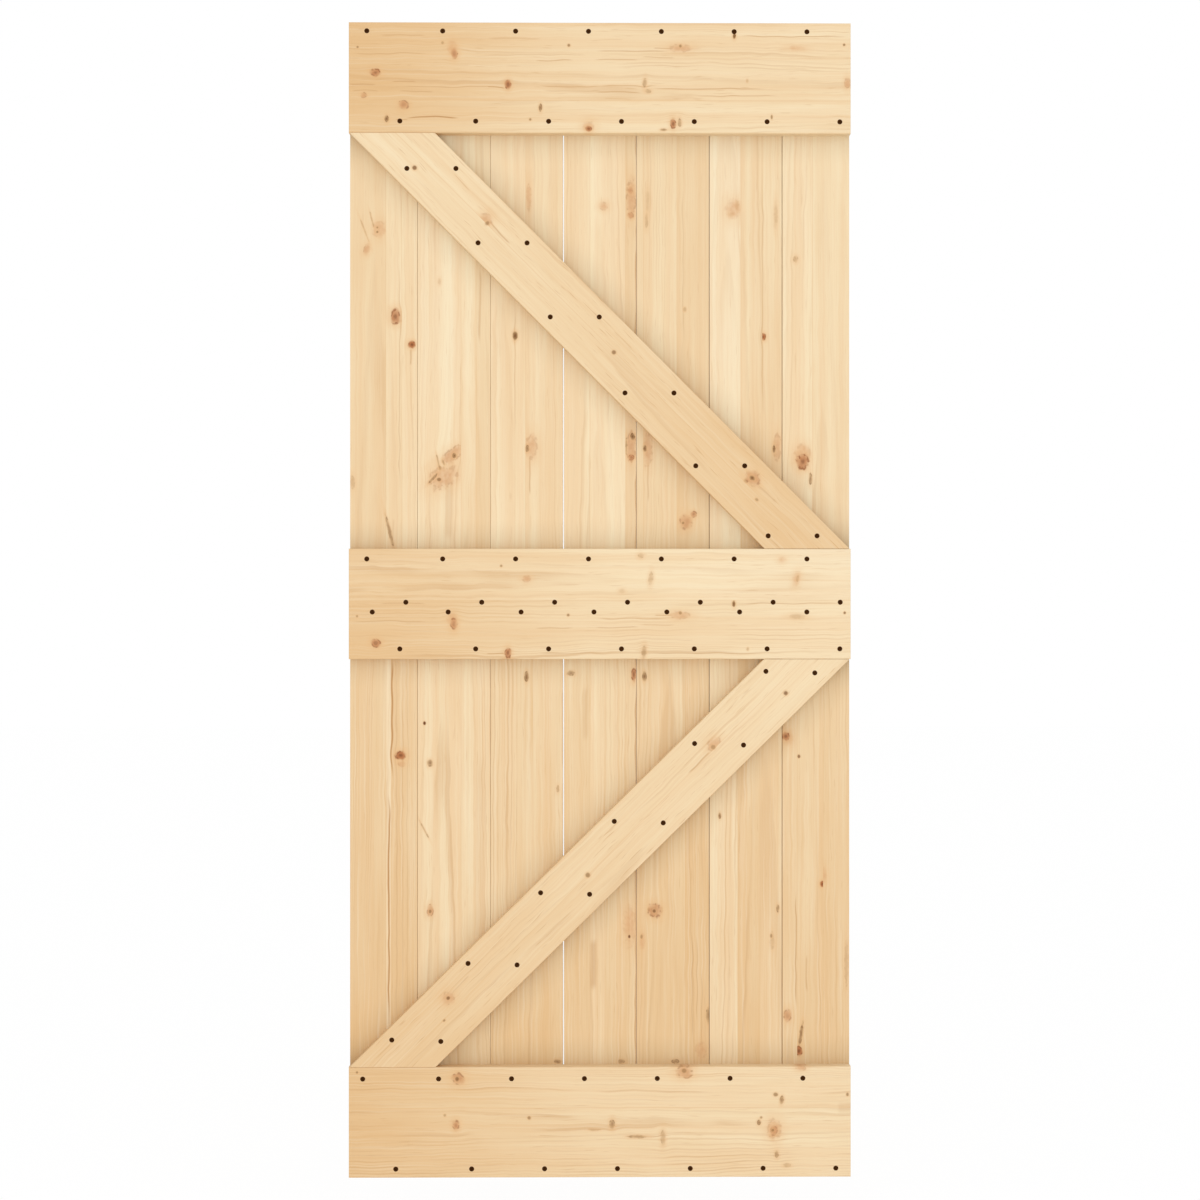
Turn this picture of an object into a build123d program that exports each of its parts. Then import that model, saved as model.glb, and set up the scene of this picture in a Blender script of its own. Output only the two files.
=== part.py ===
"""Ledged and braced sliding door leaf in solid pine.

The leaf is a single layer of vertical boards in two half-length courses, butted
behind the middle rail. Three rails and two diagonal braces are screwed to the
front of the boards. X runs across the leaf, Y into it and Z up. The front faces
-Y, and the origin is the centre of the top rail's front face.
"""
import math
import os

from build123d import *

# Leaf
LEAF_WIDTH = 900.0
LEAF_HEIGHT = 2070.0

# Boards
BOARD_PITCH = 131.5
BOARD_THICKNESS = 18.0
BOARD_EASE = 0.8
SEAM_GAPS = (0.4, 0.3, 2.0, 0.55, 0.9, 0.9)
BUTT_DEPTH = 1049.0
BUTT_GAP = 0.5

# Rails
RAIL_HEIGHT = 198.0
RAIL_THICKNESS = 18.0
MIDDLE_RAIL_DEPTH = 943.0
EDGE_ROUND = 2.0

# Braces
BRACE_WIDTH = 108.0
BRACE_TIP_INSET = 2.0
BRACE_FIT = 0.3

# Screw countersinks
SINK_RADIUS = 4.8
SINK_DEPTH = 2.2
SINK_SLOPE = 45.0
SINK_SIDES = 12
SINK_EDGE_MIN = 19.0
OUTER_ROW_INSET = 15.8
INNER_ROW_INSET = 20.8
MIDDLE_ROW_INSET = 18.4
BUTT_ROW_DEPTH = 96.0
BUTT_ROW_SPACING = 17.5
SCREW_CREEP = 0.9
FIRST_SCREW_SHIFT = -5.2
BUTT_LAST_SHIFT = -10.0
TOP_ROW_SHIFTS = (-20.6, 38.5)
MIDDLE_ROW_SHIFTS = (-20.6, 38.5)
BUTT_ROW_SHIFTS = (49.3, -10.8)
BOTTOM_ROW_SHIFTS = (-27.9, 31.3)
PAIR_SPACING = 87.8
UPPER_PAIR_INSETS = (148.0, 105.0)
LOWER_PAIR_INSETS = (121.0, 109.0)
UPPER_PAIR_SHIFTS = ((0.0, 6.0), (-2.0, 2.5), (-2.0, -0.5), (2.5, -7.0), (0.0, -8.0), (0.5, -4.0))
LOWER_PAIR_SHIFTS = ((0.0, 6.0), (2.5, 11.0), (-1.5, 5.5), (-3.5, 1.5), (6.5, 9.0), (0.5, 6.5))
LOWER_PAIR_DROP = 2.8

# Boards across the leaf, one more than the seams between them
BOARD_COUNT = len(SEAM_GAPS) + 1

# Heights of the rails and of the boards' ends, from the centre of the top rail
LEAF_TOP = RAIL_HEIGHT / 2
LEAF_BOTTOM = LEAF_TOP - LEAF_HEIGHT
BUTT_HEIGHT = LEAF_TOP - BUTT_DEPTH
TOP_RAIL_BASE = LEAF_TOP - RAIL_HEIGHT
MIDDLE_RAIL_TOP = LEAF_TOP - MIDDLE_RAIL_DEPTH
MIDDLE_RAIL_BASE = MIDDLE_RAIL_TOP - RAIL_HEIGHT
BOTTOM_RAIL_TOP = LEAF_BOTTOM + RAIL_HEIGHT

# Plane of the rails' front faces, and of the boards' cross-section
FRONT = Plane.XZ
os.makedirs("parts", exist_ok=True)


def seam_face(number, side):
    """Board face beside seam `number`, counted from 1: side -1 is on its left and +1 on its right.

    The outer boards end at the leaf's own sides, ripped to its width.
    """
    if number == 0:
        return -LEAF_WIDTH / 2
    if number == BOARD_COUNT:
        return LEAF_WIDTH / 2
    return (number - BOARD_COUNT / 2) * BOARD_PITCH + side * SEAM_GAPS[number - 1] / 2


def export(builder, name):
    """Label a finished piece and write it under its own name."""
    builder.part.label = name
    export_step(builder.part, f"parts/{name}.step")


def make_board(number, base, top, name):
    """One square-edged board, its long arrises eased."""
    left = seam_face(number - 1, 1)
    right = seam_face(number, -1)
    with BuildPart() as board:
        with BuildSketch(Plane.XY.offset(base)):
            with Locations(((left + right) / 2, RAIL_THICKNESS + BOARD_THICKNESS / 2)):
                Rectangle(right - left, BOARD_THICKNESS)
        extrude(amount=top - base)
        fillet(board.edges().filter_by(Axis.Z), BOARD_EASE)
    export(board, name)


def countersink(points):
    """Tapered seats for screw heads at (x, z) points of the front face."""
    with BuildSketch(FRONT) as seats:
        with Locations(*points):
            RegularPolygon(SINK_RADIUS, SINK_SIDES)
    extrude(seats.sketch, amount=-SINK_DEPTH, taper=SINK_SLOPE, mode=Mode.SUBTRACT)


def screw_row(height, shift, last_shift=0.0):
    """One screw to a board along a rail, moved sideways and kept off the leaf's sides."""
    limit = LEAF_WIDTH / 2 - SINK_EDGE_MIN
    middle = (BOARD_COUNT - 1) / 2
    places = [(index - middle) * (BOARD_PITCH - SCREW_CREEP) + shift for index in range(BOARD_COUNT)]
    places[0] += FIRST_SCREW_SHIFT
    places[-1] += last_shift
    return [(max(-limit, min(limit, x)), height) for x in places]


def make_rail(base, points, name):
    """A rail across the whole leaf, its front arrises rounded and its screw points countersunk."""
    with BuildPart() as rail:
        with BuildSketch(FRONT):
            with Locations((0, base + RAIL_HEIGHT / 2)):
                Rectangle(LEAF_WIDTH, RAIL_HEIGHT)
        extrude(amount=-RAIL_THICKNESS)
        fillet(rail.faces().sort_by(Axis.Y)[0].edges(), EDGE_ROUND)
        countersink(points)
    export(rail, name)


def end_cut(height, span):
    """Length of a brace's level end cut, for the width of its stock and the opening it crosses."""
    square = BRACE_WIDTH ** 2
    a = height ** 2 - square
    b = square * span
    c = square * (height ** 2 + span ** 2)
    return (math.sqrt(b ** 2 + a * c) - b) / a


def make_brace(top, base, hand, pair_insets, pair_shifts, name, pair_drop=0.0):
    """A brace corner to corner of an opening, cut level on the rails. Hand +1 starts at the upper left.

    Its screws stand in pairs along its middle, each pair moved a little as it was driven by hand.
    """
    high = top - BRACE_FIT
    low = base + BRACE_FIT
    tip = hand * (LEAF_WIDTH / 2 - BRACE_TIP_INSET)
    cut = hand * end_cut(high - low, 2 * abs(tip))
    first = -LEAF_WIDTH / 2 + pair_insets[0]
    step = (LEAF_WIDTH - sum(pair_insets)) / (len(pair_shifts) - 1)
    points = []
    for index, (aside, raised) in enumerate(pair_shifts):
        x = first + index * step
        fall = (x - cut / 2 + tip) / (2 * tip - cut)
        z = high - fall * (high - low) + raised
        for side in (-0.5, 0.5):
            points.append((x + aside + side * PAIR_SPACING, z - side * pair_drop))
    with BuildPart() as brace:
        with BuildSketch(FRONT):
            with BuildLine():
                Polyline((-tip, high), (cut - tip, high), (tip, low), (tip - cut, low), close=True)
            make_face()
        extrude(amount=-RAIL_THICKNESS)
        face = brace.faces().sort_by(Axis.Y)[0]
        fillet(face.edges().sort_by(SortBy.LENGTH)[-2:], EDGE_ROUND)
        countersink(points)
    export(brace, name)


# Boards, each course from the leaf's end to the butt joint
for board_number in range(1, BOARD_COUNT + 1):
    make_board(board_number, BUTT_HEIGHT + BUTT_GAP / 2, LEAF_TOP, f"upper_board_{board_number}")
    make_board(board_number, LEAF_BOTTOM, BUTT_HEIGHT - BUTT_GAP / 2, f"lower_board_{board_number}")

# Rails, the middle one with a row of screws on each side of the butt joint
butt_row_height = MIDDLE_RAIL_TOP - BUTT_ROW_DEPTH
top_points = (
    screw_row(LEAF_TOP - OUTER_ROW_INSET, TOP_ROW_SHIFTS[0])
    + screw_row(TOP_RAIL_BASE + INNER_ROW_INSET, TOP_ROW_SHIFTS[1])
)
middle_points = (
    screw_row(MIDDLE_RAIL_TOP - MIDDLE_ROW_INSET, MIDDLE_ROW_SHIFTS[0])
    + screw_row(butt_row_height, BUTT_ROW_SHIFTS[0], BUTT_LAST_SHIFT)
    + screw_row(butt_row_height - BUTT_ROW_SPACING, BUTT_ROW_SHIFTS[1], BUTT_LAST_SHIFT)
    + screw_row(MIDDLE_RAIL_BASE + MIDDLE_ROW_INSET, MIDDLE_ROW_SHIFTS[1])
)
bottom_points = (
    screw_row(BOTTOM_RAIL_TOP - INNER_ROW_INSET, BOTTOM_ROW_SHIFTS[0])
    + screw_row(LEAF_BOTTOM + OUTER_ROW_INSET, BOTTOM_ROW_SHIFTS[1])
)
make_rail(TOP_RAIL_BASE, top_points, "top_rail")
make_rail(MIDDLE_RAIL_BASE, middle_points, "middle_rail")
make_rail(LEAF_BOTTOM, bottom_points, "bottom_rail")

# Braces
make_brace(TOP_RAIL_BASE, MIDDLE_RAIL_TOP, 1, UPPER_PAIR_INSETS, UPPER_PAIR_SHIFTS, "upper_brace")
make_brace(
    MIDDLE_RAIL_BASE, BOTTOM_RAIL_TOP, -1,
    LOWER_PAIR_INSETS, LOWER_PAIR_SHIFTS, "lower_brace", LOWER_PAIR_DROP,
)
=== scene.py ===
"""Looks of a pine sliding door leaf: its wood, its screws, the stage, the light and the camera."""
import math
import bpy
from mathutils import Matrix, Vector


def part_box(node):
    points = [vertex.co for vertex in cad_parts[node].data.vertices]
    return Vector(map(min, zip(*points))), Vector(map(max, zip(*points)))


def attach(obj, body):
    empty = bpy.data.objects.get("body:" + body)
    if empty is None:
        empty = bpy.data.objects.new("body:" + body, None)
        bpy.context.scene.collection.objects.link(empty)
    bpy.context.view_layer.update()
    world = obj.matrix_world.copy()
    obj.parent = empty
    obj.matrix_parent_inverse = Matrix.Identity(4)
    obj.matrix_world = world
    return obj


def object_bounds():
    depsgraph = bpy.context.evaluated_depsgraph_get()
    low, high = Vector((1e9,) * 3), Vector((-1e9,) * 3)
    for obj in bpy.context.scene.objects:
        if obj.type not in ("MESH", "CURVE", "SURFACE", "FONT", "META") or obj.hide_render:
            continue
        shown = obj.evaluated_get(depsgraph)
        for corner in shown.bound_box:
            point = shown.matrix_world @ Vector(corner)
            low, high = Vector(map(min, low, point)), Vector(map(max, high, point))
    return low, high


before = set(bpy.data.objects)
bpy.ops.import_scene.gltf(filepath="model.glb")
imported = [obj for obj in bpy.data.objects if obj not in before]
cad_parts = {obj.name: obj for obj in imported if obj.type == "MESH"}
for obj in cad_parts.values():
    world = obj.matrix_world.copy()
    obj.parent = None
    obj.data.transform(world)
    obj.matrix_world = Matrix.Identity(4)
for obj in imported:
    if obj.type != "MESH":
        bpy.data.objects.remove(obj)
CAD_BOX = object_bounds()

from types import SimpleNamespace

import bmesh
import bpy
from bpy.props import FloatProperty, FloatVectorProperty, IntProperty, PointerProperty
from mathutils import Matrix, Vector

bl_info = {
    "name": "Pine sliding door leaf",
    "version": (1, 0, 0),
    "blender": (4, 5, 0),
    "location": "3D View > Sidebar > Door leaf",
    "description": "Finishes the boards, rails, braces and screws of a pine door leaf and lights it",
    "category": "Object",
}

MM = 0.001
BODY = "root"
BOARDS = [f"{course}_board_{number}" for course in ("upper", "lower") for number in range(1, 8)]
RAILS = ["top_rail", "middle_rail", "bottom_rail"]
BRACES = ["upper_brace", "lower_brace"]

# Turn of each kind of piece about Y that lays its grain along Z, in degrees
BOARD_TURN = 0.0
RAIL_TURN = -90.0
BRACE_TURN = {"upper_brace": 45.0, "lower_brace": -45.0}

# Strength and run of the grain on each kind of piece
UPPER_GRAIN = {
    "lines": 0.28, "fine": 0.15, "dashes": 0.2, "sway": 0.012, "breaks": 2.6, "bands": 0.9, "cloud": 0.5,
}
LOWER_GRAIN = {
    "lines": 0.42, "fine": 0.26, "dashes": 0.25, "sway": 0.012, "breaks": 2.6, "bands": 0.9, "cloud": 0.6,
}
RAIL_GRAIN = {
    "lines": 0.5, "fine": 0.18, "dashes": 0.3, "sway": 0.02, "breaks": 7.0, "bands": 0.6, "cloud": 0.5,
}
BRACE_GRAIN = {
    "lines": 0.32, "fine": 0.18, "dashes": 0.45, "sway": 0.02, "breaks": 6.0, "bands": 0.4, "cloud": 0.5,
}

# Glued strips of each piece: joint lines across it (x of a board, z of a rail, distance from the axis of
# a brace, in mm) and one tone for each strip, from -1 (cream) to 1 (amber)
STRIPS = {
    "upper_board_1": ((-385.6, -356.8), (0.38, 0.16, 0.08)),
    "upper_board_2": ((-250.4, -223.4), (-0.15, 0.04, 0.37)),
    "upper_board_3": ((-153.2, -134.0), (0.04, 0.06, 0.19)),
    "upper_board_4": ((-18.0, 46.3), (0.1, -0.01, 0.43)),
    "upper_board_5": ((78.6, 138.7), (0.33, 0.26, 0.43)),
    "upper_board_6": ((254.0, 292.8), (-0.27, 0.22, 0.24)),
    "upper_board_7": ((383.8,), (-0.02, 0.17)),
    "lower_board_1": ((-385.2, -376.2), (0.62, -0.08, 0.67)),
    "lower_board_2": ((-250.4,), (0.22, 0.24)),
    "lower_board_3": ((-149.5, -120.7), (0.4, 0.5, 0.46)),
    "lower_board_4": ((-18.0, 9.0), (0.62, 0.31, 0.53)),
    "lower_board_5": ((154.0,), (0.64, 0.77)),
    "lower_board_6": ((248.6, 288.3), (0.14, 0.6, 0.4)),
    "lower_board_7": ((355.9, 402.7), (0.55, 0.56, 0.65)),
    "top_rail": ((-40.7,), (0.19, 0.25)),
    "middle_rail": ((-936.0,), (0.26, 0.09)),
    "bottom_rail": ((-1846.0,), (0.22, 0.19)),
    "upper_brace": ((4.5,), (0.37, 0.36)),
    "lower_brace": ((0.0,), (0.31, 0.31)),
}

# Change of tone along a piece: darker at its lower or left end, paler at its upper or right end
ENDS = {
    "upper_board_1": (0.1, 0.0), "upper_board_2": (0.2, 0.0), "upper_board_5": (0.1, 0.0),
    "upper_board_6": (0.36, 0.0), "upper_board_7": (0.15, 0.0), "lower_board_1": (0.4, 0.12),
    "lower_board_2": (0.4, 0.08), "lower_board_3": (0.43, 0.04), "lower_board_4": (0.05, 0.2),
    "lower_board_5": (0.06, 0.26), "lower_board_6": (0.15, 0.0), "lower_board_7": (0.08, 0.16),
    "top_rail": (0.65, 0.1), "middle_rail": (0.52, 0.26), "bottom_rail": (0.6, 0.15),
    "upper_brace": (0.28, 0.22), "lower_brace": (0.26, 0.2),
}

# Knots of each piece: x and z in the leaf, half size across and along the grain (mm), tone from 0 (amber
# patch) to 1 (dark knot), and a tilt in degrees where the knot leans
KNOTS = {
    "upper_board_1": [
        (-398, -268, 12.6, 14.4, 0.2), (-401, -265, 1.8, 1.8, 0.45), (-401, -273, 2.2, 2.2, 0.6),
        (-420, -304, 6.5, 9.9, 0.34, -15), (-368, -425, 9.4, 12.6, 0.74), (-339, -476, 6.5, 5.8, 0.92),
        (-446, -723, 4.3, 12.6, 0.25), (-379, -812, 2.6, 28, 0.55, 14), (-411, -250, 1.5, 13, 0.3, 15),
        (-424, -270, 1.6, 20, 0.25, 21),
    ],
    "upper_board_2": [
        (-266, -675, 16, 17, 0.36, -38), (-283, -716, 24, 21, 0.3, -20), (-262, -676, 3.6, 4.7, 0.8),
        (-282, -688, 2.2, 5.2, 0.5, 18), (-292, -685, 1.7, 11, 0.45, 12), (-288, -698, 2.2, 3.6, 0.4),
        (-301, -717, 3, 7.5, 0.62, -40), (-290, -719, 3.9, 3.4, 0.7), (-289, -362, 2.9, 6.1, 0.06),
    ],
    "upper_board_3": [
        (-153, -460, 4.4, 7.2, 0.92), (-123, -661, 10.8, 23.4, 0.26), (-131, -663, 3.1, 5.8, 0.62),
        (-128, -210, 4.7, 25.2, 0.2),
    ],
    "upper_board_4": [
        (56, -211, 9.4, 34.2, 0.34), (55, -197, 4.7, 7.2, 0.45), (55, -242, 6.1, 5.4, 0.42),
        (7, -226, 8.1, 8.1, 0.22), (56, -659, 9, 27, 0.36), (59, -641, 3.6, 6.1, 0.85),
        (57, -679, 4.7, 4.6, 0.62), (47.5, -657, 1.6, 15, 0.5),
    ],
    "upper_board_5": [
        (86, -665, 9, 27, 0.26), (81, -663, 2.9, 5.8, 0.82), (86, -217, 4.3, 19.8, 0.06),
        (84, -252, 3.2, 12.6, 0.28), (153, -412, 2.7, 4, 0.13), (155, -795, 10.8, 12.6, 0.42),
        (169, -781, 5.4, 5.4, 0.6), (150, -797, 2.5, 2.5, 0.5),
    ],
    "upper_board_6": [
        (241, -231, 13.5, 18, 0.15), (248, -224, 4.3, 7.2, 0.12), (236, -241, 4.7, 4.3, 0.12),
        (294, -461, 5, 6.2, 0.95), (320, -659, 6.8, 23.4, 0.26), (314, -663, 2.7, 6.5, 0.85),
        (317, -242, 4, 23.4, 0.16),
    ],
    "upper_board_7": [
        (353, -321, 4.4, 5.8, 0.38), (366, -686, 10.8, 13.7, 0.76), (366, -671, 14.4, 16.2, 0.22),
        (380, -718, 2.7, 10.8, 0.6),
    ],
    "lower_board_1": [
        (-359, -1216, 9.4, 8.3, 0.9), (-357, -1231, 7.2, 5.4, 0.25),
    ],
    "lower_board_2": [
        (-316, -1158, 2.5, 3.4, 1.0), (-306, -1230, 4.4, 5.8, 0.66), (-317, -1349, 1.8, 14.4, 0.4, 28),
        (-306, -1496, 6.1, 9.7, 0.45), (-306, -1497, 2.6, 3.4, 0.6),
    ],
    "lower_board_3": [
        (-132, -1075, 3.4, 8.6, 0.75), (-76, -1276, 2.5, 6.1, 0.42), (-76, -1768, 6.1, 3.6, 0.65),
    ],
    "lower_board_4": [
        (-53, -1068, 6.5, 4.3, 0.6), (61, -1071, 4.7, 11.5, 0.74), (54, -1524, 12.6, 36, 0.16),
        (53, -1543, 2.3, 3.4, 0.92), (39, -1768, 5.4, 3.6, 0.5),
    ],
    "lower_board_5": [
        (80, -1074, 4, 7.9, 0.75), (99, -1496, 11.5, 12.6, 0.55), (98, -1497, 3.1, 3.4, 0.78),
        (88, -1494, 2.5, 3.4, 0.35), (75, -1543, 2.3, 4, 0.45), (76, -1550, 5.4, 16.2, 0.1),
        (195, -1686, 3.6, 14.4, 0.56), (182, -1749, 10.8, 14.4, 0.18), (136, -1768, 7.2, 3.6, 0.55),
    ],
    "lower_board_6": [
        (216, -1325, 2.5, 5.4, 0.75), (321, -1492, 2.7, 6.8, 0.58), (309, -1542, 2.2, 3.8, 0.55),
        (311, -1550, 4.3, 14.4, 0.2),
    ],
    "lower_board_7": [
        (335, -1182, 6.5, 7.2, 0.76), (339, -1186, 9, 12.6, 0.12), (359, -1218, 2.7, 3.4, 0.8),
        (402, -1449, 4.8, 5.4, 0.95), (404, -1433, 5.4, 12.6, 0.12), (338, -1686, 7.2, 10.8, 0.48),
        (363, -1718, 3.2, 18, 0.75, -8), (359, -1750, 5.8, 8.3, 0.9), (445, -1590, 3.6, 43.2, 0.22),
    ],
    "top_rail": [
        (-402, 8, 7.2, 9, 0.7), (-261, 43, 10, 5.7, 0.55), (-264, 53, 12.5, 9, 0.12),
        (-282, 62, 2.9, 2.5, 0.3), (-165, -12, 8.2, 5.4, 0.74), (-352, -49, 9, 8.2, 0.48),
        (-382, -74, 5.7, 3.6, 0.82), (-107, -54, 6.5, 3, 0.72), (-125, -75, 2.2, 2.2, 0.6),
        (-20, -91, 4.7, 5.4, 0.8), (-20, -87, 9, 10.8, 0.2), (-56, 58, 2.7, 2.7, 0.65),
        (-434, 54, 2.2, 2.2, 0.55), (-423, -32, 5.4, 5.4, 0.38), (143, 53, 6.8, 19.7, 0.24),
        (144, 57, 2.7, 2.7, 0.55), (352, 54, 4.7, 16.1, 0.08), (80, -9, 7.9, 3.4, 0.45, 25),
        (86, -24, 3.6, 5.4, 0.34), (131, -82, 9, 5, 0.76), (143, -80, 7.2, 3.2, 0.5),
        (444, -9, 9.7, 5.4, 0.28), (241, 75, 5.2, 2.9, 1.0), (438, 60, 2.3, 2.3, 0.7),
        (264, -5, 3, 2, 0.05), (308, -70, 3.9, 1.8, 0.6), (114, -93, 2.2, 5.4, 0.65),
    ],
    "middle_rail": [
        (-401, -1013, 7.2, 9, 0.66), (-262, -979, 10.4, 6.1, 0.56), (-265, -970, 12.5, 9, 0.12),
        (-165, -1031, 8.6, 5.7, 0.74), (-131, -898, 6.1, 8.1, 0.25), (-177, -875, 2.3, 2.3, 0.5),
        (-57, -963, 2.5, 2.5, 0.62), (91, -897, 10.8, 4.3, 0.3, 25), (143, -963, 7.2, 17.9, 0.24),
        (144, -959, 2.9, 2.7, 0.5), (240, -943, 5.2, 2.6, 0.92), (353, -966, 4.4, 16.1, 0.16),
        (353, -897, 12.5, 7.2, 0.08, 30), (355, -897, 5.4, 2.7, 0.26, 30), (326, -863, 5.4, 7.2, 0.08),
        (73, -857, 4.3, 5.4, 0.3), (39, -920, 4.3, 5.4, 0.06), (79, -1029, 10.8, 4.4, 0.45, 25),
        (265, -1024, 2.9, 2.2, 0.15), (439, -959, 2.5, 2.3, 0.75), (-435, -965, 2.2, 2.2, 0.4),
    ],
    "bottom_rail": [
        (-254, -1793, 10.8, 10.8, 0.52), (-256, -1794, 4.3, 3.6, 0.75), (-258, -1877, 9, 6.5, 0.54),
        (-127, -1864, 3.2, 3.2, 0.6), (-11, -1886, 1.8, 9, 0.25), (22, -1875, 8.2, 4.4, 0.6),
        (68, -1898, 2.9, 16.1, 0.48), (113, -1900, 12.5, 4.4, 0.36), (152, -1782, 10.8, 14.3, 0.42),
        (151, -1780, 3.9, 4.3, 0.5), (312, -1886, 17.9, 12.5, 0.26), (312, -1888, 8.2, 6.1, 0.42),
        (310, -1887, 2.6, 2.6, 0.6), (315, -1823, 3.4, 4.3, 0.62), (326, -1833, 6.5, 3.4, 0.6, 20),
        (285, -1873, 4.6, 3.4, 0.66), (289, -1864, 2.2, 2.2, 0.5), (317, -1930, 6, 3.4, 0.52),
        (335, -1950, 3.6, 6.1, 0.25), (360, -1775, 5.4, 9, 0.28), (-435, -1782, 2.3, 2.3, 0.6),
        (-278, -1859, 2.3, 2.3, 0.3), (444, -1823, 3.2, 2.5, 0.62),
    ],
    "upper_brace": [
        (-332, -162, 4.1, 4.1, 0.8), (-204, -255, 13.3, 11.5, 0.26), (-202, -261, 4.3, 3.6, 0.55),
        (25, -492, 3.9, 3.9, 0.7), (274, -717, 11.5, 13.6, 0.46), (273, -717, 3.6, 4.7, 0.86),
        (281, -756, 2.7, 3.6, 0.4), (262, -722, 3.6, 3.9, 0.3),
    ],
    "lower_brace": [
        (333, -1103, 4.1, 4.1, 0.8), (205, -1196, 12.5, 13.6, 0.28), (203, -1200, 4.3, 4.3, 0.4),
        (-22, -1429, 4.3, 4.3, 0.62), (-272, -1649, 11.8, 11.8, 0.28), (-272, -1649, 3.2, 3.6, 0.78),
        (-279, -1689, 2.2, 2.9, 0.6),
    ],
}

# Resin and heartwood streaks: middle of each in the leaf (x, z), half length along the grain, half width
# (mm) and strength
STREAKS = {
    "upper_board_1": [(-361, -535, 220, 1.5, 0.3), (-340, -498, 16, 1.6, 0.4), (-373, -820, 34, 1.8, 0.2)],
    "upper_board_2": [(-216, -404, 74, 2.6, 0.35), (-272, -770, 64, 9, 0.28)],
    "upper_board_3": [(-126, -711, 38, 1.7, 0.5), (-153, -518, 124, 1.1, 0.25)],
    "upper_board_4": [(64.6, -425, 560, 1.8, 0.6)],
    "upper_board_5": [(87, -722, 40, 1.8, 0.35), (150, -335, 150, 1.4, 0.2)],
    "upper_board_6": [(293.5, -385, 240, 1.3, 0.3)],
    "lower_board_1": [
        (-374, -1147, 115, 1.9, 1.0), (-380, -1495, 226, 1.9, 1.0), (-366, -1385, 360, 1.4, 0.3),
        (-356, -1385, 360, 1.2, 0.25), (-347, -1385, 360, 1.2, 0.25),
    ],
    "lower_board_2": [(-216, -1386, 190, 12, 0.14)],
    "lower_board_4": [(-26, -1140, 55, 6, 0.2), (-12, -1593, 50, 7, 0.42), (64.6, -1460, 560, 1.8, 0.6)],
    "lower_board_5": [(166, -1634, 104, 1.2, 0.4), (175, -1620, 80, 1.2, 0.35), (184, -1680, 80, 1.2, 0.35)],
    "lower_board_7": [(354, -1568, 110, 1.5, 0.6), (373.5, -1610, 36, 1.8, 0.35)],
    "top_rail": [
        (-300, -71, 50, 1.5, 0.9), (-187, -17, 18, 0.9, 0.8), (112, 53, 18, 0.9, 0.55),
        (342, 75, 98, 1.0, 0.6), (-269, -17, 96, 0.9, 0.45), (-351, -7, 24, 1.2, 0.5),
        (-329, -26, 34, 1.0, 0.45), (-353, 75, 44, 1.2, 0.4), (-376, 43, 72, 1.0, 0.45),
        (-153, 70, 52, 2.0, 0.25), (-82, 31, 36, 1.2, 0.45), (-120, 41, 100, 1.0, 0.3),
        (-52, -15.5, 60, 1.2, 0.4), (-50, -23.5, 55, 1.2, 0.3), (48, -15, 56, 1.2, 0.45),
        (33, -26, 44, 1.2, 0.45), (58, 48, 68, 1.3, 0.45), (30, 32, 42, 1.3, 0.4),
        (105, 37, 32, 1.2, 0.35), (194, -19.5, 108, 1.2, 0.55), (244, -32, 80, 1.0, 0.45),
        (-425, -12, 26, 1.6, 0.4), (-420, -24, 26, 1.4, 0.35), (-355, -74, 12, 0.9, 0.6),
    ],
    "middle_rail": [
        (114, -963, 18, 0.9, 0.6), (-187, -1031, 18, 0.9, 0.7), (186, -1031, 115, 1.2, 0.5),
        (342, -942, 98, 1.0, 0.5), (-353, -942, 44, 1.2, 0.4), (-376, -974, 72, 1.0, 0.4),
        (-82, -986, 36, 1.2, 0.4), (-52, -1032, 60, 1.2, 0.4), (58, -969, 68, 1.3, 0.4),
        (30, -985, 42, 1.3, 0.4), (105, -980, 32, 1.2, 0.3),
    ],
    "bottom_rail": [(-10, -1886, 14, 1.0, 0.6), (85, -1898, 45, 0.9, 0.5), (446, -1846, 22, 12, 0.2)],
    "upper_brace": [(-181, -278, 30, 1.6, 0.5), (300, -745, 26, 1.4, 0.35)],
    "lower_brace": [(178, -1227, 30, 1.6, 0.5), (-250, -1625, 26, 1.4, 0.3)],
}

# Half size under which a knot is dull. One that narrow across the grain may lie over a glue line, and one
# that small both ways is a speck.
SMALL_KNOT = 0.0045

# Knots that bend the grain: least half width and tone, reach of the bend in sizes of the knot, its strength
PULL_HALF = 0.0035
PULL_TONE = 0.3
PULL_ACROSS = 1.8
PULL_ALONG = 2.6
PULL_STRENGTH = 0.45

# Change of tone along a piece: it starts this far past the middle and is full this far from it (m)
TONE_START = 0.05
TONE_FULL = 0.46

# Glue lines: their strength, and the place of one that a piece doesn't have, far outside it
GLUE_STRENGTH = 0.35
NO_LINE = 9.0

# Grain: wander of its lines aside (m), step of its seed from strip to strip, spread of the pith across (m),
# the pith's least depth (m) and the rings' least slope, each with its spread
RIPPLE = 0.007
STRIP_SEED = 2.7
PITH_SPREAD = 0.12
PITH_DEPTH = 0.045
PITH_DEPTH_SPREAD = 0.05
RING_SLOPE = 0.006
RING_SLOPE_SPREAD = 0.008

# Planed surface: spread of its roughness, its gloss and the strength of its relief
ROUGHNESS_SPREAD = 0.16
WOOD_GLOSS = 0.3
RELIEF_STRENGTH = 0.6

# Heights this close are one level (m)
LEVEL = 1e-4

# Depths from a piece's middle: the front face, and where its sides begin on a board and on a rail (m)
FRONT_FACE = -0.0085
BOARD_SIDE = -0.004
RAIL_SIDE = -0.006

# Painted shade in the inner corners, standing in for the shadow that falls there: its strength on the sides
# of rails and braces, and on the boards under a rail, over one and beside a brace, where its upper and lower
# sides differ
SIDE_PAINTED_SHADE = 0.55
UNDER_PAINTED_SHADE = 0.85
OVER_PAINTED_SHADE = 1.1
BRACE_PAINTED_SHADE = 0.95
BRACE_PAINTED_SHADE_STEP = 0.15

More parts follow.
